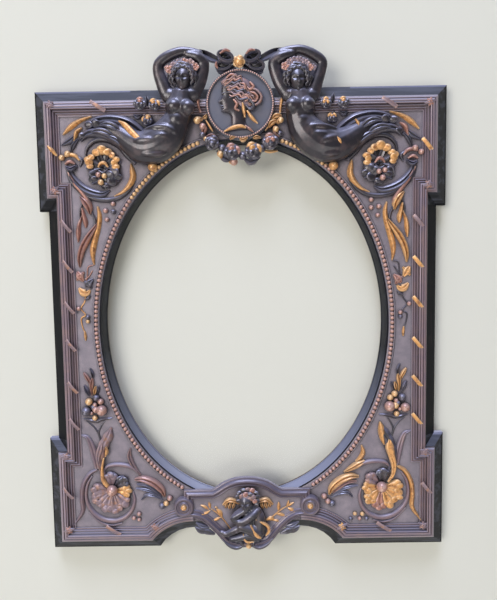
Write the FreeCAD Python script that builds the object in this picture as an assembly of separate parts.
import FreeCAD, Part
import math
import os

os.makedirs("parts", exist_ok=True)
vec = FreeCAD.Vector

# The frame hangs on a wall: X to the right, Z up, the front faces -Y.
# The origin is the centre of the oval, on the wall side of the boards. All lengths are in millimetres.

# Oval opening, sight slip, glass and what holds it
sight_half_width = 128.8
sight_half_height = 164.2
sight_lip = 1.5
slip_width = 4.6
slip_edge = 0.8
seat_clearance = 0.2
glass_thickness = 2.0
glass_clearance = 0.5
fillet_thickness = 3.5
fillet_setback = 1.0

# Boards, by their widths beyond the oval
side_width = 59.2
top_width = 50.8
foot_width = 53.1
ear_step = 8.5
upper_ear_height = 108.3
lower_ear_height = 109.2
board_thickness = 15.0
edge_land = 6.0
bevel_width = 10.5
stile_width = 88.0
lap_depth = 7.5
arch_radius = 40.2
arch_rise = 18.6
arch_side = 51.0

# Bronze ground plate, bead course and reeded border
plate_thickness = 2.0
plate_inset = 0.4
band_width = 6.0
band_thickness = 0.8
bead_pitch = 4.1
bead_radius = 1.9
bead_height = 2.6
bead_top_share = 0.55
bead_top_setback = 4.0
bead_foot_setback = 0.5
border_width = 13.5
border_height = 4.5
border_inset = 0.9

# Turn buttons, their screws and the hanger
button_arm = 15.0
button_tip_radius = 2.2
button_boss_radius = 4.2
button_thickness = 1.6
button_reach = 8.5
button_angle = 40.0
screw_shank_radius = 1.5
screw_head_radius = 2.8
screw_head_height = 1.3
screw_length = 6.0
pin_clearance = 0.05
play = 0.1
hanger_width = 14.0
hanger_height = 33.0
hanger_thickness = 1.2
hanger_drop = 9.0
ring_wire_radius = 1.2
ring_half_width = 9.0
ring_leg = 5.0
knuckle_wall = 1.1
knuckle_width = 11.0
upper_screw_drop = 20.5
lower_screw_drop = 28.5

# Scrolls, leaves and fruit on the ground plate, by their distances from the edges of the boards
scroll_radius = 26.0
scroll_rise = 6.0
upper_scroll_inset = 64.6
upper_scroll_drop = 70.4
lower_scroll_inset = 58.7
lower_scroll_lift = 57.5
vine_length = 64.0
vine_inset = 45.5
vine_drop = 109.7
bouquet_radius = 10.0
bouquet_inset = 47.5
bouquet_lift = 87.7

# Crest: medallion, bow, roses and the two sirens
medallion_radius = 31.0
medallion_drop = 17.5
medallion_thickness = 7.0
medallion_rim = 1.6
crest_relief = 15.0
rose_radius = 7.0
cameo_relief = 4.2
cameo_edge = 1.6

# Cartouche at the foot with its two bosses and the seated figure
cartouche_half_width = 59.5
cartouche_lift = 45.1
cartouche_thickness = 5.0
cartouche_moulding = 6.0
panel_sink = 2.6
boss_radius = 9.4
boss_rim_width = 2.8
boss_sink = 1.0
boss_height = 6.4
boss_knob_radius = 3.0
figure_relief = 9.0

overrun = 5.0
half_turn = 180.0
oval_sides = 48
disc_sides = 16
bead_sides = 4
medallion_sides = 24
rod_sides = 12
stud_sides = 8
ring_sides = 6
bow_steps = 8
measuring_steps = 2000

half_width = sight_half_width + side_width
top_height = sight_half_height + top_width
foot_depth = sight_half_height + foot_width
back_y = 0.0
board_front = -board_thickness
face_y = board_front - plate_thickness
glass_back = -fillet_thickness
glass_front = glass_back - glass_thickness
rebate_offset = slip_width + seat_clearance
band_offset = rebate_offset
bead_offset = band_offset + band_width / 2
bead_gap_top = medallion_radius + bead_top_setback
bead_gap_foot = cartouche_half_width + bead_foot_setback
stile_inner = half_width - stile_width
upper_centre = (upper_scroll_inset - half_width, top_height - upper_scroll_drop)
lower_centre = (lower_scroll_inset - half_width, lower_scroll_lift - foot_depth)
vine_centre = (vine_inset - half_width, sight_half_height - vine_drop)
bouquet_centre = (bouquet_inset - half_width, bouquet_lift - sight_half_height)
crest_centre = (0.0, top_height - medallion_drop)
cartouche_centre = (0.0, cartouche_lift - foot_depth)


# Helpers

def save(name, shape):
    shape.exportStep("parts/" + name + ".step")


def mirrored(shape):
    return shape.mirror(vec(0, 0, 0), vec(1, 0, 0))


def block(low, high):
    """A box between two corners given as (x, y, z)."""
    size = [high[i] - low[i] for i in range(3)]
    return Part.makeBox(size[0], size[1], size[2], vec(*low))


def face_of(points):
    return Part.Face(Part.makePolygon(list(points) + [points[0]]))


def skin(rings, flat_sides=False, loop=False):
    """A closed solid through rings of points. Flat sides stay one face each, others are triangles."""
    faces = [] if loop else [face_of(rings[0]), face_of(rings[-1])]
    count = len(rings[0])
    following = rings[1:] + rings[:1] if loop else rings[1:]
    for near, far in zip(rings, following):
        for i in range(count):
            j = (i + 1) % count
            if flat_sides:
                faces.append(face_of([near[i], near[j], far[j], far[i]]))
            else:
                faces.append(face_of([near[i], near[j], far[j]]))
                faces.append(face_of([near[i], far[j], far[i]]))
    shell = Part.makeShell(faces)
    shell.sewShape()
    solid = Part.makeSolid(shell)
    if solid.Volume < 0:
        solid.reverse()
    return solid


def union(shapes):
    whole = shapes[0]
    if len(shapes) > 1:
        whole = shapes[0].fuse(shapes[1:])
    return whole.removeSplitter()


def rod(base, reach, radius, sides=rod_sides, bore=False):
    """A faceted rod from base along reach. A bore's flats, not its corners, lie at the radius."""
    wide = radius / math.cos(math.pi / sides) if bore else radius
    up = vec(0, 0, 1)
    across = up.cross(reach).normalize()
    points = []
    for i in range(sides):
        turn = 2 * math.pi * i / sides
        points.append(base + up * (wide * math.cos(turn)) + across * (wide * math.sin(turn)))
    return face_of(points).extrude(reach)


def oval_points(offset, y):
    """The oval at a distance outside the sight edge, in the plane y."""
    points = []
    for i in range(oval_sides):
        turn = 2 * math.pi * i / oval_sides
        points.append(vec((sight_half_width + offset) * math.cos(turn), y,
                          (sight_half_height + offset) * math.sin(turn)))
    return points


def oval_block(offset, low_y, high_y):
    return face_of(oval_points(offset, low_y)).extrude(vec(0, high_y - low_y, 0))


def oval_ring(inner_offset, outer_offset, low_y, high_y):
    outer = oval_block(outer_offset, low_y, high_y)
    return outer.cut(oval_block(inner_offset, low_y - overrun, high_y + overrun))


def along_oval(offset, pitch):
    """Places at an even pitch round the oval, from its top, as (x, z)."""
    wide = sight_half_width + offset
    tall = sight_half_height + offset
    places = [(0.0, tall)]
    last = (0.0, tall)
    travelled = 0.0
    for i in range(1, measuring_steps + 1):
        turn = 2 * math.pi * i / measuring_steps
        point = (wide * math.sin(turn), tall * math.cos(turn))
        travelled += math.hypot(point[0] - last[0], point[1] - last[1])
        last = point
        if travelled >= pitch:
            travelled -= pitch
            places.append(point)
    return places


def shifted(outline, inset):
    """A closed outline of (x, z) points moved inwards by an equal distance, with mitred corners."""
    count = len(outline)
    moved = []
    for i in range(count):
        before = outline[i - 1]
        here = outline[i]
        after = outline[(i + 1) % count]
        first = (here[0] - before[0], here[1] - before[1])
        second = (after[0] - here[0], after[1] - here[1])
        first_length = math.hypot(*first)
        second_length = math.hypot(*second)
        normal_one = (first[1] / first_length, -first[0] / first_length)
        normal_two = (second[1] / second_length, -second[0] / second_length)
        spread = 1 + normal_one[0] * normal_two[0] + normal_one[1] * normal_two[1]
        reach = inset / spread
        moved.append((here[0] + (normal_one[0] + normal_two[0]) * reach,
                      here[1] + (normal_one[1] + normal_two[1]) * reach))
    return moved


# Section shares: across the piece from -1 to 1, and out from the ground from 0 to 1
leaf_section_shares = [(-1.0, 0.0), (0.0, 1.0), (1.0, 0.0)]
band_section_shares = [(-1.0, 0.0), (-0.6, 1.0), (0.6, 1.0), (1.0, 0.0)]
round_section_shares = [(-1.0, 0.0), (-0.5, 0.87), (0.5, 0.87), (1.0, 0.0), (0.0, -0.87)]


def sweep(rows, centre, unit, relief, section):
    """A tapering piece along rows of (x, z, half width, rise, lift) shares.

    x, z and half width are shares of unit, measured from the centre. Rise and lift are shares of relief,
    and lift is how far the section's own zero stands off the face of the plate.
    """
    places = [(centre[0] + row[0] * unit, centre[1] + row[1] * unit) for row in rows]
    rings = []
    for i, row in enumerate(rows):
        before = places[max(i - 1, 0)]
        after = places[min(i + 1, len(rows) - 1)]
        run = math.hypot(after[0] - before[0], after[1] - before[1])
        across = ((after[1] - before[1]) / run, -(after[0] - before[0]) / run)
        ring = []
        for share in section:
            wide = share[0] * row[2] * unit
            out = (share[1] * row[3] + row[4]) * relief
            ring.append(vec(places[i][0] + across[0] * wide, face_y - out, places[i][1] + across[1] * wide))
        rings.append(ring)
    return skin(rings)


# Dome levels: radius and height, from the seat outwards
bloom_level_shares = [(1.0, 0.0), (1.0, 0.4), (0.72, 0.8), (0.3, 1.0)]
cup_level_shares = [(1.0, 0.0), (0.95, 0.5), (0.4, 1.0)]
berry_level_shares = [(1.0, 0.0), (0.5, 1.0)]
ball_level_shares = [-0.9, -0.5, 0.1, 0.6, 0.93]


def dome(x, z, radius, height, sides=6, lift=0.0, level_shares=berry_level_shares):
    """A low faceted dome or bud that sits on the plate, or stands off it by a lift."""
    rings = []
    for k, (wide, high) in enumerate(level_shares):
        ring = []
        for i in range(sides):
            turn = 2 * math.pi * (i + k / 2) / sides
            ring.append(vec(x + math.cos(turn) * radius * wide, face_y - lift - height * high,
                            z + math.sin(turn) * radius * wide))
        rings.append(ring)
    return skin(rings)


def ball(x, y, z, radius, tall=1.0, deep=1.0, sides=6):
    """A faceted ball for heads and fruit, stretched along Z and Y by two factors."""
    rings = []
    for level in ball_level_shares:
        flat = math.sqrt(1 - level * level)
        ring = []
        for i in range(sides):
            turn = 2 * math.pi * (i + 1 / 2) / sides
            ring.append(vec(x + math.cos(turn) * radius * flat, y + math.sin(turn) * radius * flat * deep,
                            z + level * radius * tall))
        rings.append(ring)
    return skin(rings)


def disc(x, z, radius, low_y, high_y, sides=disc_sides, bore=False):
    return rod(vec(x, low_y, z), vec(0, high_y - low_y, 0), radius, sides, bore)


# Boards: one eared outline with a bevelled edge, half-lapped at the corners

def arch_points(steps=5):
    """The hollow at the foot, from the straight edge up to the middle, on the left."""
    centre_z = -foot_depth + arch_rise - arch_radius
    start = math.asin((-foot_depth - centre_z) / arch_radius)
    points = []
    for i in range(steps + 1):
        turn = start + (math.pi / 2 - start) * i / steps
        points.append((-arch_side - arch_radius * math.cos(turn), centre_z + arch_radius * math.sin(turn)))
    return points


def eared_outline():
    """The outline from the top left corner, clockwise, with ears at all four corners."""
    side = half_width - ear_step
    upper_ear = top_height - upper_ear_height
    lower_ear = -foot_depth + lower_ear_height
    hollow = arch_points()
    right = [(half_width, top_height), (half_width, upper_ear), (side, upper_ear),
             (side, lower_ear), (half_width, lower_ear), (half_width, -foot_depth)]
    foot = [(-x, z) for x, z in hollow] + hollow[::-1]
    left = [(-x, z) for x, z in right[::-1]]
    return right + foot + left


def at_level(outline, y):
    return [vec(x, y, z) for x, z in outline]


def build_boards():
    outline = eared_outline()
    rings = [at_level(outline, back_y), at_level(outline, -edge_land),
             at_level(shifted(outline, bevel_width), board_front)]
    carcass = skin(rings, flat_sides=True)
    carcass = carcass.cut(oval_block(rebate_offset, board_front - overrun, back_y + overrun))
    for pilot in pilot_holes():
        carcass = carcass.cut(pilot)
    far = half_width + overrun
    near_y = back_y + overrun
    front_y = board_front - overrun
    rail_top = top_height - upper_ear_height
    rail_foot = -foot_depth + lower_ear_height
    lap_blocks = []
    stiles = {}
    for name, side in (("left_stile", -1), ("right_stile", 1)):
        inner_x, outer_x = sorted((side * stile_inner, side * far))
        middle = block((inner_x, front_y, rail_foot), (outer_x, near_y, rail_top))
        behind = block((inner_x, -lap_depth, -foot_depth - overrun),
                       (outer_x, near_y, top_height + overrun))
        stiles[name] = carcass.common(middle.fuse(behind))
        lap_blocks.append(behind)
    rails = {}
    for name, low_z, high_z in (("top_rail", rail_top, top_height + overrun),
                                ("bottom_rail", -foot_depth - overrun, rail_foot)):
        rail = carcass.common(block((-far, front_y, low_z), (far, near_y, high_z)))
        for lap in lap_blocks:
            rail = rail.cut(lap)
        rails[name] = rail
    for name, board in list(stiles.items()) + list(rails.items()):
        save(name, board)


# Turn buttons and screws on the back

def button_places():
    """Pivot and direction of the four turn buttons, turned aside along the rim, as (x, z, dx, dz)."""
    places = []
    wide = sight_half_width + rebate_offset
    tall = sight_half_height + rebate_offset
    for turn in (button_angle, half_turn - button_angle, half_turn + button_angle, -button_angle):
        angle = math.radians(turn)
        edge = (wide * math.cos(angle), tall * math.sin(angle))
        normal = (math.cos(angle) / wide, math.sin(angle) / tall)
        length = math.hypot(*normal)
        out = (normal[0] / length, normal[1] / length)
        side = math.copysign(1, out[0] * out[1])
        places.append((edge[0] + out[0] * button_reach, edge[1] + out[1] * button_reach,
                       side * out[1], -side * out[0]))
    return places


def knuckle_height():
    return top_height - hanger_drop


def hanger_screw_places():
    return [(0.0, knuckle_height() - upper_screw_drop), (0.0, knuckle_height() - lower_screw_drop)]


def pilot_holes():
    radius = screw_shank_radius + play
    depth = screw_length + play
    places = [(place[0], place[1]) for place in button_places()] + hanger_screw_places()
    return [disc(x, z, radius, -depth, overrun, rod_sides, bore=True) for x, z in places]


def screw(x, z, seat):
    """A round-headed screw whose head stands on a seat behind the boards."""
    shank = disc(x, z, screw_shank_radius, -screw_length, seat, rod_sides)
    head = disc(x, z, screw_head_radius, seat, seat + screw_head_height, rod_sides)
    return shank.fuse(head)


def build_buttons():
    low_y = back_y + play
    for number, (x, z, dx, dz) in enumerate(button_places(), 1):
        high_y = low_y + button_thickness
        boss = disc(x, z, button_boss_radius, low_y, high_y)
        tip_x = x + dx * button_arm
        tip_z = z + dz * button_arm
        tip = disc(tip_x, tip_z, button_tip_radius, low_y, high_y, rod_sides)
        arm = face_of([vec(x - dz * button_boss_radius, low_y, z + dx * button_boss_radius),
                       vec(x + dz * button_boss_radius, low_y, z - dx * button_boss_radius),
                       vec(tip_x + dz * button_tip_radius, low_y, tip_z - dx * button_tip_radius),
                       vec(tip_x - dz * button_tip_radius, low_y, tip_z + dx * button_tip_radius)])
        button = union([boss, arm.extrude(vec(0, button_thickness, 0)), tip])
        hole = disc(x, z, screw_shank_radius + pin_clearance, low_y - overrun, high_y + overrun,
                    rod_sides, bore=True)
        save("turn_button_" + str(number), button.cut(hole))
    seat = back_y + button_thickness + 2 * play
    save("button_screws", Part.makeCompound([screw(x, z, seat) for x, z, dx, dz in button_places()]))


def build_hanger():
    """A folded brass strap whose knuckle holds the straight side of a D-shaped ring."""
    axis_z = knuckle_height()
    bore = ring_wire_radius + pin_clearance
    knuckle_radius = bore + knuckle_wall
    axis_y = back_y + knuckle_radius + play
    strap = block((-hanger_width / 2, back_y, axis_z - hanger_height),
                  (hanger_width / 2, back_y + hanger_thickness, axis_z - knuckle_radius / 2))
    narrow = block((-knuckle_width / 2, back_y, axis_z - knuckle_radius),
                   (knuckle_width / 2, axis_y, axis_z))
    knuckle = rod(vec(-knuckle_width / 2, axis_y, axis_z), vec(knuckle_width, 0, 0), knuckle_radius)
    bore_hole = rod(vec(-knuckle_width, axis_y, axis_z), vec(2 * knuckle_width, 0, 0), bore, bore=True)
    plate = union([strap, narrow, knuckle]).cut(bore_hole)
    for x, z in hanger_screw_places():
        plate = plate.cut(disc(x, z, screw_shank_radius + pin_clearance, back_y - overrun,
                               back_y + hanger_thickness + overrun, rod_sides, bore=True))
    save("hanger_plate", plate)
    screws = [screw(x, z, back_y + hanger_thickness) for x, z in hanger_screw_places()]
    save("hanger_screws", Part.makeCompound(screws))

    bend = ring_wire_radius + play
    pin_half = knuckle_width / 2 + play
    path = [(-pin_half, 0.0), (pin_half, 0.0), (ring_half_width - bend, 0.0), (ring_half_width, -bend)]
    for i in range(bow_steps + 1):
        turn = math.pi * i / bow_steps
        path.append((ring_half_width * math.cos(turn), -ring_leg - ring_half_width * math.sin(turn)))
    path += [(-ring_half_width, -bend), (bend - ring_half_width, 0.0)]
    rings = []
    for i, (x, z) in enumerate(path):
        before = path[i - 1]
        after = path[(i + 1) % len(path)]
        run = math.hypot(after[0] - before[0], after[1] - before[1])
        across = vec((before[1] - after[1]) / run, 0, (after[0] - before[0]) / run)
        ring = []
        for k in range(ring_sides):
            turn = 2 * math.pi * k / ring_sides
            ring.append(vec(x, axis_y, axis_z + z) + across * (ring_wire_radius * math.cos(turn))
                        + vec(0, ring_wire_radius * math.sin(turn), 0))
        rings.append(ring)
    save("hanging_ring", skin(rings, loop=True))


# Slip, glass and retaining fillet

def build_glazing():
    slip = oval_block(slip_width, face_y, glass_front)
    slope = skin([oval_points(slip_width - slip_edge, face_y), oval_points(0, glass_front - sight_lip)])
    slip = slip.cut(slope).cut(oval_block(0, face_y - overrun, glass_front + overrun))
    save("sight_slip", slip)
    save("glass_pane", oval_block(slip_width - glass_clearance, glass_front, glass_back))
    save("glazing_fillet", oval_ring(fillet_setback, slip_width, glass_back, back_y))


# Ground plate, bead course and reeded border

def build_ground():
    outline = shifted(eared_outline(), bevel_width + plate_inset)
    plate = face_of(at_level(outline, face_y)).extrude(vec(0, plate_thickness, 0))
    save("ground_plate", plate.cut(oval_block(rebate_offset, face_y - overrun, board_front + overrun)))


def gap_blocks():
    """Where the bead course makes room for the roses at the top and the cartouche at the foot."""
    low_y = face_y - overrun - bead_height
    top = block((-bead_gap_top, low_y, 0), (bead_gap_top, back_y, top_height))
    foot = block((-bead_gap_foot, low_y, -foot_depth), (bead_gap_foot, back_y, 0))
    return top, foot


def bead(x, z):
    base_y = face_y - band_thickness
    rings = []
    for radius, y in ((bead_radius, base_y), (bead_radius * bead_top_share, base_y - bead_height)):
        ring = []
        for i in range(bead_sides):
            turn = 2 * math.pi * i / bead_sides
            ring.append(vec(x + radius * math.cos(turn), y, z + radius * math.sin(turn)))
        rings.append(ring)
    return skin(rings, flat_sides=True)


def build_beads():
    band = oval_ring(band_offset, band_offset + band_width, face_y - band_thickness, face_y)
    for gap in gap_blocks():
        band = band.cut(gap)
    save("bead_band", band)
    beads = []
    for x, z in along_oval(bead_offset, bead_pitch):
        top_gap = z > 0 and abs(x) < bead_gap_top + bead_radius
        foot_gap = z < 0 and abs(x) < bead_gap_foot + bead_radius
        if not top_gap and not foot_gap:
            beads.append(bead(x, z))
    save("bead_course", Part.makeCompound(beads))


# Border section from its outer edge inwards, as shares of its width and height
border_section_shares = [(0.0, 0.0), (0.0, 0.34), (0.09, 0.34), (0.13, 0.62), (0.22, 0.86), (0.28, 0.74),
                         (0.37, 1.0), (0.46, 0.84), (0.55, 0.98), (0.62, 0.7), (0.68, 0.76), (0.75, 0.42),
                         (0.8, 0.24), (0.9, 0.24), (0.93, 0.4), (1.0, 0.4), (1.0, 0.0)]


def border_run(first, last):
    """A mitred length of reeded border between two corners of the outline, by their numbers."""
    outline = eared_outline()
    levels = []
    start = bevel_width + border_inset
    for across, out in border_section_shares:
        levels.append((shifted(outline, start + across * border_width), face_y - out * border_height))
    rings = []
    for number in range(first, last + 1):
        at = number % len(outline)
        rings.append([vec(points[at][0], y, points[at][1]) for points, y in levels])
    return skin(rings, flat_sides=True)


def border_lengths():
    """The five lengths of border, by name. The feet end square behind the cartouche, round its bosses."""
    count = len(eared_outline())
    arch = len(arch_points())
    foot_start = (count - 2 * arch) // 2 - 1
    front = face_y - border_height - overrun
    end_face = block((-half_width, front, -foot_depth), (-cartouche_half_width, back_y, 0))
    end_face = end_face.cut(boss_room(-1))
    right_foot = border_run(foot_start, foot_start + arch)
    left_foot = border_run(foot_start + arch + 1, foot_start + 2 * arch + 1)
    return {
        "border_top": border_run(count - 1, count),
        "border_right": border_run(0, foot_start),
        "border_foot_right": right_foot.common(mirrored(end_face)),
        "border_foot_left": left_foot.common(end_face),
        "border_left": border_run(foot_start + 2 * arch + 1, count - 1),
    }


def boss_room(side):
    """The round room that a boss of the cartouche needs, on the left for -1 and on the right for 1."""
    front = face_y - border_height - overrun
    return disc(side * cartouche_half_width, cartouche_centre[1], boss_radius + play, front, back_y)


def build_border():
    lengths = border_lengths()
    for name, length in lengths.items():
        save(name, length)
    return lengths


def clear_of_mouldings(shape, mouldings):
    """An ornament, cut back where it lies over the border lengths, the bead course or the cartouche."""
    return shape.cut(list(mouldings.values()) + [bead_clearance()])


# Scrolls with leaves. Rows are (x, z, half width, rise, lift) shares of scroll_radius and scroll_rise.

upper_band_shares = [(-1.19, 0.2, 0.15, 0.9, 0), (-1.26, -0.08, 0.14, 1.0, 0), (-1.07, -0.42, 0.15, 1.0, 0),
                     (-0.73, -0.73, 0.17, 1.0, 0), (-0.27, -0.95, 0.18, 0.9, 0), (0.19, -1.0, 0.16, 0.8, 0),
                     (0.61, -0.77, 0.16, 0.8, 0), (0.88, -0.38, 0.13, 0.8, 0), (0.92, 0.08, 0.03, 0.4, 0)]
upper_arc_shares = [(-0.65, 0.34, 0.06, 0.5, 0), (-0.57, 0.77, 0.1, 0.8, 0), (-0.23, 1.0, 0.1, 0.9, 0),
                    (0.23, 1.0, 0.1, 0.9, 0), (0.65, 0.69, 0.1, 0.9, 0), (0.96, 0.3, 0.08, 0.8, 0)]
husk_shares = [(-0.94, 0.34, 0.05, 0.6, 0), (-1.1, 0.5, 0.08, 0.8, 0), (-1.3, 0.46, 0.09, 0.8, 0),
               (-1.5, 0.38, 0.05, 0.5, 0)]
pendant_shares = [
    [(-0.8, -0.98, 0.05, 0.5, 0), (-0.66, -1.26, 0.15, 1.0, 0), (-0.57, -1.54, 0.03, 0.4, 0)],
    [(-0.84, -1.34, 0.04, 0.4, 0), (-0.77, -1.62, 0.1, 0.8, 0), (-0.69, -1.92, 0.02, 0.2, 0)],
    [(-0.84, -1.62, 0.04, 0.4, 0), (-0.96, -2.0, 0.12, 0.8, 0), (-1.04, -2.48, 0.02, 0.2, 0)],
    [(-0.24, -1.28, 0.04, 0.4, 0), (-0.19, -1.76, 0.09, 0.8, 0), (-0.34, -2.26, 0.13, 0.9, 0),
     (-0.5, -2.83, 0.12, 0.8, 0), (-0.47, -3.3, 0.02, 0.2, 0)],
    [(-0.36, -1.95, 0.05, 0.4, 0), (-0.65, -2.45, 0.13, 0.8, 0), (-0.92, -2.91, 0.12, 0.8, 0),
     (-1.0, -3.37, 0.02, 0.2, 0)],
]
pendant_berry_shares = [(0.27, -1.23), (0.0, -1.46), (0.27, -1.5), (0.04, -1.77)]
upper_petal_angles = [90.0, 160.0, 232.0, 305.0, 20.0]
upper_petal_shares = [(0.3, 0.05, 0.5), (0.56, 0.17, 0.9), (0.86, 0.04, 0.3)]
upper_cup_place_shares = (0.0, 0.0)
husk_ball_place_shares = (-1.19, 0.24)

lower_band_shares = [(-0.48, 0.95, 0.06, 0.5, 0), (-0.9, 0.5, 0.1, 0.8, 0), (-1.04, 0.0, 0.12, 0.8, 0),
                     (-0.88, -0.52, 0.12, 0.8, 0), (-0.5, -0.88, 0.13, 0.8, 0), (0.0, -1.03, 0.13, 0.8, 0),
                     (0.47, -0.88, 0.1, 0.7, 0), (0.78, -0.54, 0.08, 0.6, 0), (0.86, -0.12, 0.04, 0.4, 0)]
lower_arc_shares = [(-0.17, 0.96, 0.05, 0.5, 0), (0.17, 1.1, 0.08, 0.7, 0), (0.59, 1.1, 0.08, 0.7, 0),
                    (0.94, 0.97, 0.08, 0.8, 0), (1.14, 0.76, 0.05, 0.5, 0)]
corner_leaf_shares = [(-0.93, -0.5, 0.04, 0.4, 0), (-1.0, -0.78, 0.09, 0.7, 0), (-1.16, -1.0, 0.06, 0.5, 0)]
spur_leaf_shares = [(-0.06, 0.3, 0.05, 0.6, 0), (-0.25, 0.73, 0.1, 0.8, 0), (-0.29, 1.19, 0.2, 1.0, 0),
                    (-0.17, 1.65, 0.25, 1.0, 0), (0.02, 2.07, 0.18, 0.8, 0), (0.1, 2.45, 0.03, 0.3, 0)]
hook_leaf_shares = [(-0.46, 1.11, 0.09, 0.4, 0), (-0.54, 1.61, 0.12, 0.5, 0), (-0.65, 2.03, 0.1, 0.5, 0),
                    (-0.92, 2.22, 0.02, 0.2, 0)]
branch_leaf_shares = [
    [(0.9, 0.57, 0.05, 0.5, 0), (1.28, 0.54, 0.15, 1.0, 0), (1.67, 0.34, 0.13, 1.0, 0),
     (1.97, 0.0, 0.03, 0.4, 0)],
    [(0.92, 0.22, 0.03, 0.3, 0), (1.4, 0.12, 0.08, 0.6, 0), (1.82, -0.08, 0.04, 0.4, 0)],
    [(1.17, -0.19, 0.03, 0.2, 0), (1.47, -0.02, 0.06, 0.5, 0), (1.84, -0.14, 0.03, 0.3, 0)],
    [(0.75, 1.72, 0.02, 0.2, 0), (0.75, 1.34, 0.09, 0.6, 0), (0.92, 0.98, 0.05, 0.5, 0)],
]
lower_berry_shares = [(1.03, -0.71), (0.84, -0.86), (1.03, -0.93),
                      (1.9, -0.42), (2.02, -0.3), (2.16, -0.12)]
lower_petal_angles = [158.0, 201.0, 247.0, 284.0, 326.0, 12.0, 49.0, 88.0]
lower_petal_shares = [(0.28, 0.05, 0.5), (0.52, 0.16, 0.9), (0.76, 0.05, 0.3)]
lower_cup_place_shares = (0.06, 0.08)
berry_share = 0.085
berry_rise_share = 0.45
cup_share = 0.2
cup_rise_share = 1.1


def scroll_part(shares, centre, section=leaf_section_shares):
    return sweep(shares, centre, scroll_radius, scroll_rise, section)


def scroll_berry(centre, place):
    return dome(centre[0] + place[0] * scroll_radius, centre[1] + place[1] * scroll_radius,
                scroll_radius * berry_share, scroll_rise * berry_rise_share)


def scroll_cup(centre, place):
    return dome(centre[0] + place[0] * scroll_radius, centre[1] + place[1] * scroll_radius,
                scroll_radius * cup_share, scroll_rise * cup_rise_share, level_shares=cup_level_shares)


def petals(shares, centre, place, angles):
    """A whorl of petals round a place. Petal rows are (distance, half width, rise) shares."""
    whorl = []
    for angle in angles:
        turn = math.radians(angle)
        rows = [(place[0] + reach * math.cos(turn), place[1] + reach * math.sin(turn), wide, rise, 0)
                for reach, wide, rise in shares]
        whorl.append(scroll_part(rows, centre))
    return whorl


def save_pair(name, shape):
    """The left piece and its mirror image on the right."""
    save(name + "_left", shape)
    save(name + "_right", mirrored(shape))


def build_upper_scrolls(siren, mouldings):
    bands = [scroll_part(upper_band_shares, upper_centre, band_section_shares),
             scroll_part(husk_shares, upper_centre),
             scroll_part(upper_arc_shares, upper_centre, band_section_shares),
             scroll_cup(upper_centre, husk_ball_place_shares)]
    scroll = clear_of_mouldings(union(bands).cut(siren), mouldings)
    save_pair("upper_scroll", scroll)
    rosette = petals(upper_petal_shares, upper_centre, upper_cup_place_shares, upper_petal_angles)
    rosette = union([scroll_cup(upper_centre, upper_cup_place_shares)] + rosette)
    save_pair("upper_rosette", clear_of_mouldings(rosette.cut([scroll, siren]), mouldings))
    leaves = [scroll_part(rows, upper_centre) for rows in pendant_shares]
    berries = [scroll_berry(upper_centre, place) for place in pendant_berry_shares]
    hanging = union([leaves[0], leaves[1], leaves[2]])
    pendant = Part.makeCompound([hanging, union(leaves[3:])] + berries)
    save_pair("leaf_pendant", clear_of_mouldings(pendant.cut(scroll), mouldings))


def build_lower_scrolls(mouldings):
    bands = [scroll_part(lower_band_shares, lower_centre, band_section_shares),
             scroll_part(spur_leaf_shares, lower_centre),
             scroll_part(hook_leaf_shares, lower_centre),
             scroll_part(lower_arc_shares, lower_centre),
             scroll_part(corner_leaf_shares, lower_centre)]
    scroll = clear_of_mouldings(union(bands), mouldings)
    save_pair("lower_scroll", scroll)
    rosette = petals(lower_petal_shares, lower_centre, lower_cup_place_shares, lower_petal_angles)
    rosette = union([scroll_cup(lower_centre, lower_cup_place_shares)] + rosette)
    save_pair("lower_rosette", rosette.cut(scroll))
    branch = [scroll_part(rows, lower_centre) for rows in branch_leaf_shares]
    berries = [scroll_berry(lower_centre, place) for place in lower_berry_shares]
    branch = Part.makeCompound(branch + berries).cut(scroll).cut(boss_room(-1))
    save_pair("foot_branch", clear_of_mouldings(branch, mouldings))


# Vine and fruit on the stiles

vine_stem_shares = [(0.0, 0.0, 0.012, 0.2, 0), (0.01, -0.24, 0.014, 0.25, 0),
                    (-0.03, -0.44, 0.014, 0.25, 0),
                    (-0.09, -0.6, 0.014, 0.25, 0), (-0.05, -0.73, 0.014, 0.25, 0),
                    (-0.1, -0.88, 0.012, 0.2, 0), (-0.07, -1.0, 0.012, 0.2, 0)]
vine_leaf_shares = [
    [(0.0, -0.04, 0.01, 0.3, 0), (-0.09, -0.11, 0.07, 0.5, 0), (-0.16, -0.17, 0.01, 0.2, 0)],
    [(-0.03, -0.17, 0.01, 0.3, 0), (0.02, -0.23, 0.06, 0.5, 0), (0.09, -0.28, 0.01, 0.2, 0)],
    [(0.01, -0.3, 0.01, 0.3, 0), (-0.06, -0.36, 0.06, 0.5, 0), (-0.13, -0.42, 0.01, 0.2, 0)],
]
vine_berry_shares = [(-0.14, -0.6), (-0.02, -0.73)]
vine_berry_share = 0.035
fruit_shares = [(-0.55, 0.45, 0.36), (0.15, 0.8, 0.3), (0.55, 0.5, 0.28), (-0.85, -0.5, 0.46),
                (0.25, -0.42, 0.5), (0.05, 0.22, 0.24), (0.0, -1.15, 0.26)]
fruit_height_share = 1.3
fruit_leaf_shares = [
    [(-0.2, 1.1, 0.1, 0.4, 0), (-0.5, 1.9, 0.3, 0.6, 0), (-0.9, 2.6, 0.05, 0.2, 0)],
    [(0.2, 1.1, 0.1, 0.4, 0), (0.05, 2.2, 0.28, 0.6, 0), (-0.1, 3.4, 0.04, 0.2, 0)],
]


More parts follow.
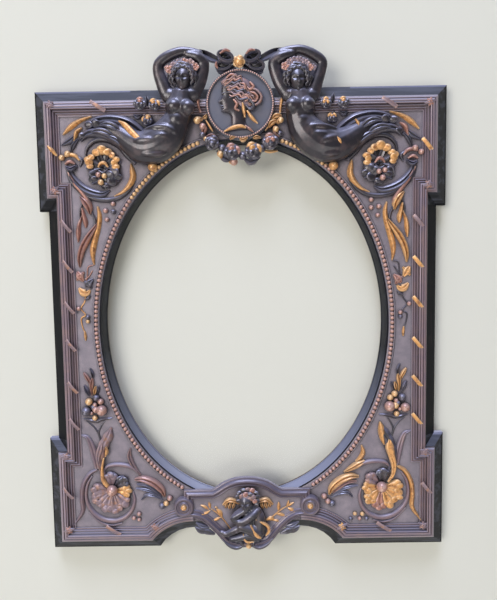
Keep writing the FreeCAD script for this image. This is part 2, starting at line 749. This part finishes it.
def build_vines(mouldings):
    centre = vine_centre
    pieces = [sweep(vine_stem_shares, centre, vine_length, scroll_rise, leaf_section_shares)]
    for rows in vine_leaf_shares:
        pieces.append(sweep(rows, centre, vine_length, scroll_rise, leaf_section_shares))
    for x, z in vine_berry_shares:
        pieces.append(dome(centre[0] + x * vine_length, centre[1] + z * vine_length,
                           vine_length * vine_berry_share, scroll_rise * berry_rise_share))
    save_pair("vine", clear_of_mouldings(union(pieces), mouldings))


def build_bouquets(mouldings):
    centre = bouquet_centre
    pieces = []
    for x, z, size in fruit_shares:
        pieces.append(dome(centre[0] + x * bouquet_radius, centre[1] + z * bouquet_radius,
                           size * bouquet_radius, size * bouquet_radius * fruit_height_share,
                           level_shares=cup_level_shares))
    for rows in fruit_leaf_shares:
        pieces.append(sweep(rows, centre, bouquet_radius, scroll_rise, leaf_section_shares))
    save_pair("fruit_bouquet", clear_of_mouldings(union(pieces), mouldings))


# Crest. Rows are shares of medallion_radius from the medallion's centre, rise and lift of crest_relief.

siren_torso_shares = [(-1.6, 0.66, 0.11, 0.24, 0.55), (-1.63, 0.28, 0.15, 0.3, 0.45),
                      (-1.68, 0.16, 0.4, 0.4, 0.42), (-1.75, -0.02, 0.42, 0.6, 0.4),
                      (-1.85, -0.32, 0.34, 0.5, 0.42), (-2.02, -0.62, 0.42, 0.55, 0.42),
                      (-2.28, -0.98, 0.42, 0.52, 0.4), (-2.7, -1.2, 0.4, 0.5, 0.38),
                      (-3.1, -1.18, 0.36, 0.42, 0.34), (-3.45, -0.92, 0.3, 0.36, 0.3),
                      (-3.8, -0.6, 0.24, 0.3, 0.26), (-4.3, -0.46, 0.08, 0.14, 0.16)]
siren_outer_arm_shares = [(-1.98, 0.18, 0.13, 0.26, 0.4), (-2.2, 0.62, 0.13, 0.26, 0.4),
                          (-2.36, 1.05, 0.12, 0.24, 0.4), (-2.2, 1.28, 0.11, 0.22, 0.38),
                          (-1.85, 1.48, 0.1, 0.2, 0.36), (-1.5, 1.52, 0.09, 0.18, 0.34),
                          (-1.25, 1.45, 0.08, 0.14, 0.34)]
siren_inner_arm_shares = [(-1.3, 0.16, 0.14, 0.26, 0.4), (-1.1, 0.6, 0.14, 0.26, 0.4),
                          (-1.0, 1.1, 0.12, 0.24, 0.42), (-1.12, 1.32, 0.11, 0.22, 0.44),
                          (-1.42, 1.38, 0.09, 0.16, 0.44)]
siren_fin_shares = [
    [(-3.85, -0.4, 0.06, 0.2, 0), (-4.27, -0.3, 0.09, 0.24, 0), (-4.72, -0.46, 0.09, 0.2, 0),
     (-5.1, -0.78, 0.02, 0.08, 0)],
    [(-4.2, -0.52, 0.06, 0.2, 0), (-4.66, -0.68, 0.09, 0.2, 0), (-4.81, -0.98, 0.02, 0.08, 0)],
    [(-4.3, -0.66, 0.05, 0.16, 0), (-4.8, -0.95, 0.08, 0.16, 0), (-5.16, -1.08, 0.02, 0.06, 0)],
]
siren_drape_shares = [(-2.76, -0.74, 0.08, 0.14, 0.74), (-2.42, -0.6, 0.14, 0.2, 0.84),
                      (-2.08, -0.66, 0.14, 0.22, 0.86), (-1.72, -0.86, 0.06, 0.12, 0.72)]
siren_wreath_shares = [(-2.0, 0.86, 0.08, 0.16, 0.6), (-1.92, 1.08, 0.12, 0.2, 0.62),
                       (-1.61, 1.24, 0.13, 0.22, 0.64), (-1.3, 1.08, 0.12, 0.2, 0.62),
                       (-1.22, 0.86, 0.08, 0.16, 0.6)]
siren_head_place_shares = (-1.61, 0.84)
siren_head_size_share = 0.33
siren_head_depth_share = 0.55
siren_head_tall_share = 1.2
siren_head_deep_share = 0.9
bow_shares = [
    [(-0.1, 1.16, 0.12, 0.2, 0.3), (-0.4, 1.42, 0.16, 0.24, 0.3), (-0.66, 1.3, 0.12, 0.2, 0.3)],
    [(-0.1, 1.08, 0.1, 0.2, 0.3), (-0.45, 1.14, 0.12, 0.24, 0.3), (-0.72, 1.12, 0.1, 0.2, 0.3)],
    [(-0.6, 1.24, 0.1, 0.12, 0.2), (-0.9, 1.3, 0.1, 0.12, 0.2), (-1.08, 1.42, 0.06, 0.1, 0.2)],
]
# Outline of the profile bust, clockwise from the front of the hair
bust_outline_shares = [(-0.46, 0.42), (-0.3, 0.66), (0.0, 0.78), (0.3, 0.66), (0.52, 0.4), (0.58, 0.1),
                       (0.5, -0.16), (0.24, -0.3), (0.2, -0.5), (0.4, -0.7), (-0.02, -0.62), (-0.44, -0.7),
                       (-0.24, -0.52), (-0.2, -0.36), (-0.42, -0.36), (-0.46, -0.2), (-0.58, -0.06),
                       (-0.48, 0.12)]
garland_stem_shares = [
    [(-1.2, -0.45, 0.04, 0.1, 0), (-1.05, -0.85, 0.05, 0.14, 0), (-0.72, -1.14, 0.05, 0.14, 0),
     (-0.25, -1.3, 0.06, 0.14, 0), (0.3, -1.3, 0.06, 0.14, 0), (0.76, -1.12, 0.05, 0.14, 0),
     (1.05, -0.8, 0.05, 0.14, 0), (1.16, -0.45, 0.04, 0.1, 0)],
    [(-0.24, -1.3, 0.04, 0.14, 0), (-0.18, -1.62, 0.04, 0.1, 0)],
]
garland_shares = [(-1.25, -0.4, 0.5), (-1.1, -0.72, 0.6), (-0.85, -1.0, 1.0), (-0.6, -1.32, 0.6),
                  (-0.26, -1.26, 1.05), (-0.18, -1.6, 0.55), (0.38, -1.26, 1.1), (0.86, -1.04, 1.1),
                  (1.1, -0.72, 0.6), (1.12, -0.4, 0.6)]
rose_spray_shares = [(-2.86, 0.1, 0.85), (-2.44, 0.06, 0.85), (-2.68, -0.36, 0.75)]
spray_stem_shares = [(-2.9, 0.1, 0.04, 0.12, 0), (-2.66, -0.1, 0.05, 0.14, 0), (-2.4, 0.05, 0.04, 0.12, 0)]
stud_angle = 124.5
stud_size_share = 0.62
stud_height_share = 0.7
bow_join_shares = [(-0.2, 1.11, 0.1, 0.2, 0.3), (0.2, 1.11, 0.1, 0.2, 0.3)]
knob_place_shares = (-0.02, 1.12)
knob_size_share = 0.68
knob_height_share = 0.6
knob_lift_share = 0.52


def crest_place(x, z):
    return crest_centre[0] + x * medallion_radius, crest_centre[1] + z * medallion_radius


def crest_sweep(rows, section=round_section_shares):
    return sweep(rows, crest_centre, medallion_radius, crest_relief, section)


def rose(place, size):
    x, z = crest_place(place[0], place[1])
    return dome(x, z, rose_radius * size, rose_radius * size, level_shares=bloom_level_shares)


def bead_clearance():
    """The room round the bead course that whatever crosses it has to leave."""
    room = oval_ring(band_offset - seat_clearance, band_offset + band_width + seat_clearance,
                     face_y - band_thickness - bead_height - seat_clearance, face_y)
    for gap in gap_blocks():
        room = room.cut(gap)
    return room


def build_siren(mouldings):
    """The left siren. Her back is hollowed where she lies over the boards, the border and the beads."""
    torso = crest_sweep(siren_torso_shares)
    head_x, head_z = crest_place(*siren_head_place_shares)
    head = ball(head_x, face_y - crest_relief * siren_head_depth_share, head_z,
                siren_head_size_share * medallion_radius, siren_head_tall_share, siren_head_deep_share)
    arms = [crest_sweep(siren_outer_arm_shares), crest_sweep(siren_inner_arm_shares)]
    dress = [crest_sweep(rows, leaf_section_shares) for rows in siren_fin_shares]
    dress += [crest_sweep(siren_drape_shares), crest_sweep(siren_wreath_shares)]
    figure = union([torso, head] + arms + dress)
    behind = block((-half_width, face_y, -foot_depth), (half_width, back_y + overrun, top_height + play))
    figure = clear_of_mouldings(figure.cut(behind), mouldings)
    save_pair("siren", figure)
    return figure


def build_medallion(mouldings):
    x, z = crest_centre
    plate = disc(x, z, medallion_radius, face_y - medallion_thickness, face_y, medallion_sides)
    plate = clear_of_mouldings(plate, mouldings)
    sink = disc(x, z, medallion_radius - medallion_rim, face_y - medallion_thickness - overrun,
                face_y - medallion_thickness + medallion_rim, medallion_sides)
    save("medallion_plate", plate.cut(sink))
    ground = face_y - medallion_thickness + medallion_rim
    outline = [crest_place(*place) for place in bust_outline_shares]
    rings = [at_level(outline, ground), at_level(outline, ground - cameo_relief + cameo_edge),
             at_level(shifted(outline, cameo_edge), ground - cameo_relief)]
    save("cameo_bust", skin(rings))


def build_bow(siren):
    left = union([crest_sweep(rows) for rows in bow_shares]).cut(siren)
    save("ribbon_bow", union([left, crest_sweep(bow_join_shares), mirrored(left)]))
    x, z = crest_place(*knob_place_shares)
    save("bow_knob", dome(x, z, rose_radius * knob_size_share, rose_radius * knob_height_share, stud_sides,
                          crest_relief * knob_lift_share))


def build_roses(siren, mouldings):
    blooms = [rose((x, z), size) for x, z, size in garland_shares]
    stems = [crest_sweep(rows, leaf_section_shares) for rows in garland_stem_shares]
    garland = clear_of_mouldings(union(stems + blooms), mouldings)
    save("rose_garland", garland.cut(siren).cut(mirrored(siren)))
    spray = [rose((x, z), size) for x, z, size in rose_spray_shares]
    spray.append(crest_sweep(spray_stem_shares, leaf_section_shares))
    save_pair("rose_spray", clear_of_mouldings(union(spray).cut(siren), mouldings))
    turn = math.radians(stud_angle)
    x = (sight_half_width + band_offset + band_width) * math.cos(turn)
    z = (sight_half_height + band_offset + band_width) * math.sin(turn)
    stud = dome(x, z, rose_radius * stud_size_share, rose_radius * stud_height_share, stud_sides)
    save_pair("gilt_stud", clear_of_mouldings(stud.cut(siren), mouldings))


# Cartouche. Its outline is in shares of cartouche_half_width from its centre, on the left from the top.

cartouche_outline_shares = [(0.0, 0.47), (-0.17, 0.455), (-0.34, 0.4), (-0.52, 0.27), (-1.0, 0.27),
                            (-1.0, -0.2), (-0.84, -0.2), (-0.68, -0.28), (-0.5, -0.46), (-0.36, -0.62),
                            (-0.17, -0.69), (0.0, -0.69)]
figure_shares = {
    "body": [(-0.02, 0.02, 0.12, 0.36, 0.5), (0.0, -0.16, 0.17, 0.44, 0.5), (0.02, -0.36, 0.2, 0.42, 0.48)],
    "left_arm": [(-0.1, -0.02, 0.06, 0.22, 0.6), (-0.2, -0.16, 0.06, 0.22, 0.72),
                 (-0.04, -0.2, 0.05, 0.2, 1.0)],
    "right_arm": [(0.12, -0.02, 0.06, 0.22, 0.6), (0.18, -0.18, 0.06, 0.22, 0.72),
                  (-0.06, -0.26, 0.05, 0.2, 0.95)],
    "left_leg": [(0.1, -0.36, 0.08, 0.3, 0.6), (-0.12, -0.36, 0.08, 0.3, 0.85),
                 (-0.36, -0.44, 0.05, 0.2, 0.5)],
    "right_leg": [(0.04, -0.36, 0.08, 0.3, 0.6), (0.22, -0.52, 0.08, 0.3, 0.7),
                  (0.32, -0.4, 0.05, 0.2, 0.5)],
}
figure_head_place_shares = (0.0, 0.14)
figure_head_lift_share = 0.75
figure_head_size_share = 0.13
figure_head_tall_share = 1.15
figure_head_deep_share = 0.95
wing_shares = [(-0.16, 0.06, 0.04, 0.2, 0), (-0.28, 0.12, 0.07, 0.3, 0), (-0.38, 0.02, 0.03, 0.16, 0)]
spray_shares = [
    [(-0.28, -0.38, 0.01, 0.14, 0), (-0.38, -0.16, 0.016, 0.2, 0), (-0.54, -0.02, 0.01, 0.14, 0)],
    [(-0.4, -0.14, 0.01, 0.14, 0), (-0.45, -0.02, 0.035, 0.24, 0), (-0.48, 0.08, 0.01, 0.14, 0)],
    [(-0.39, -0.18, 0.01, 0.14, 0), (-0.48, -0.24, 0.035, 0.24, 0), (-0.56, -0.22, 0.01, 0.14, 0)],
    [(-0.5, -0.04, 0.01, 0.14, 0), (-0.62, -0.12, 0.035, 0.24, 0), (-0.72, -0.13, 0.01, 0.14, 0)],
    [(-0.5, -0.04, 0.01, 0.14, 0), (-0.62, 0.02, 0.035, 0.24, 0), (-0.7, 0.06, 0.01, 0.14, 0)],
]


def cartouche_outline():
    left = [(cartouche_centre[0] + x * cartouche_half_width, cartouche_centre[1] + z * cartouche_half_width)
            for x, z in cartouche_outline_shares]
    right = [(-x, z) for x, z in left[1:-1]]
    return right + left[::-1]


def build_cartouche():
    outline = cartouche_outline()
    front = face_y - cartouche_thickness
    edge = cartouche_moulding / 3
    rings = [at_level(outline, face_y), at_level(outline, front + edge),
             at_level(shifted(outline, edge), front)]
    plate = skin(rings, flat_sides=True)
    panel = face_of(at_level(shifted(outline, cartouche_moulding), front - overrun))
    plate = plate.cut(panel.extrude(vec(0, overrun + panel_sink, 0)))
    bosses = {}
    for name, side in (("boss_left", -1), ("boss_right", 1)):
        x = side * cartouche_half_width
        z = cartouche_centre[1]
        plate = plate.cut(boss_room(side))
        rim = disc(x, z, boss_radius, face_y - boss_height, face_y)
        sink = disc(x, z, boss_radius - boss_rim_width, face_y - boss_height - overrun,
                    face_y - boss_height + boss_sink)
        knob = dome(x, z, boss_knob_radius, boss_knob_radius, lift=boss_height - boss_sink,
                    level_shares=cup_level_shares)
        bosses[name] = union([rim.cut(sink), knob])
    save("cartouche_plate", plate)
    for name, boss in bosses.items():
        save(name, boss)


def figure_sweep(rows, section, ground):
    lifted = [row[:4] + (row[4] + ground,) for row in rows]
    return sweep(lifted, cartouche_centre, cartouche_half_width, figure_relief, section)


def build_figure():
    ground = (cartouche_thickness - panel_sink) / figure_relief
    panel_y = face_y - cartouche_thickness + panel_sink
    parts = [figure_sweep(rows, round_section_shares, ground) for rows in figure_shares.values()]
    head = ball(cartouche_centre[0] + cartouche_half_width * figure_head_place_shares[0],
                panel_y - figure_relief * figure_head_lift_share,
                cartouche_centre[1] + cartouche_half_width * figure_head_place_shares[1],
                cartouche_half_width * figure_head_size_share,
                figure_head_tall_share, figure_head_deep_share)
    figure = union(parts + [head])
    behind = block((-half_width, panel_y, -foot_depth - overrun), (half_width, back_y, 0))
    figure = figure.cut(behind)
    save("cupid_figure", figure)
    wing = figure_sweep(wing_shares, leaf_section_shares, ground).cut(figure)
    mate = mirrored(figure_sweep(wing_shares, leaf_section_shares, ground)).cut(figure)
    save("cupid_wings", Part.makeCompound([wing, mate]))
    sprigs = [figure_sweep(rows, leaf_section_shares, ground) for rows in spray_shares]
    sprig = union(sprigs).cut(figure)
    save("olive_spray_left", sprig)
    save("olive_spray_right", mirrored(union(sprigs)).cut(figure))


build_boards()
build_glazing()
build_buttons()
build_hanger()
build_ground()
build_beads()
border = build_border()
left_siren = build_siren(border)
build_upper_scrolls(left_siren, border)
build_lower_scrolls(border)
build_vines(border)
build_bouquets(border)
build_medallion(border)
build_bow(left_siren)
build_roses(left_siren, border)
build_cartouche()
build_figure()
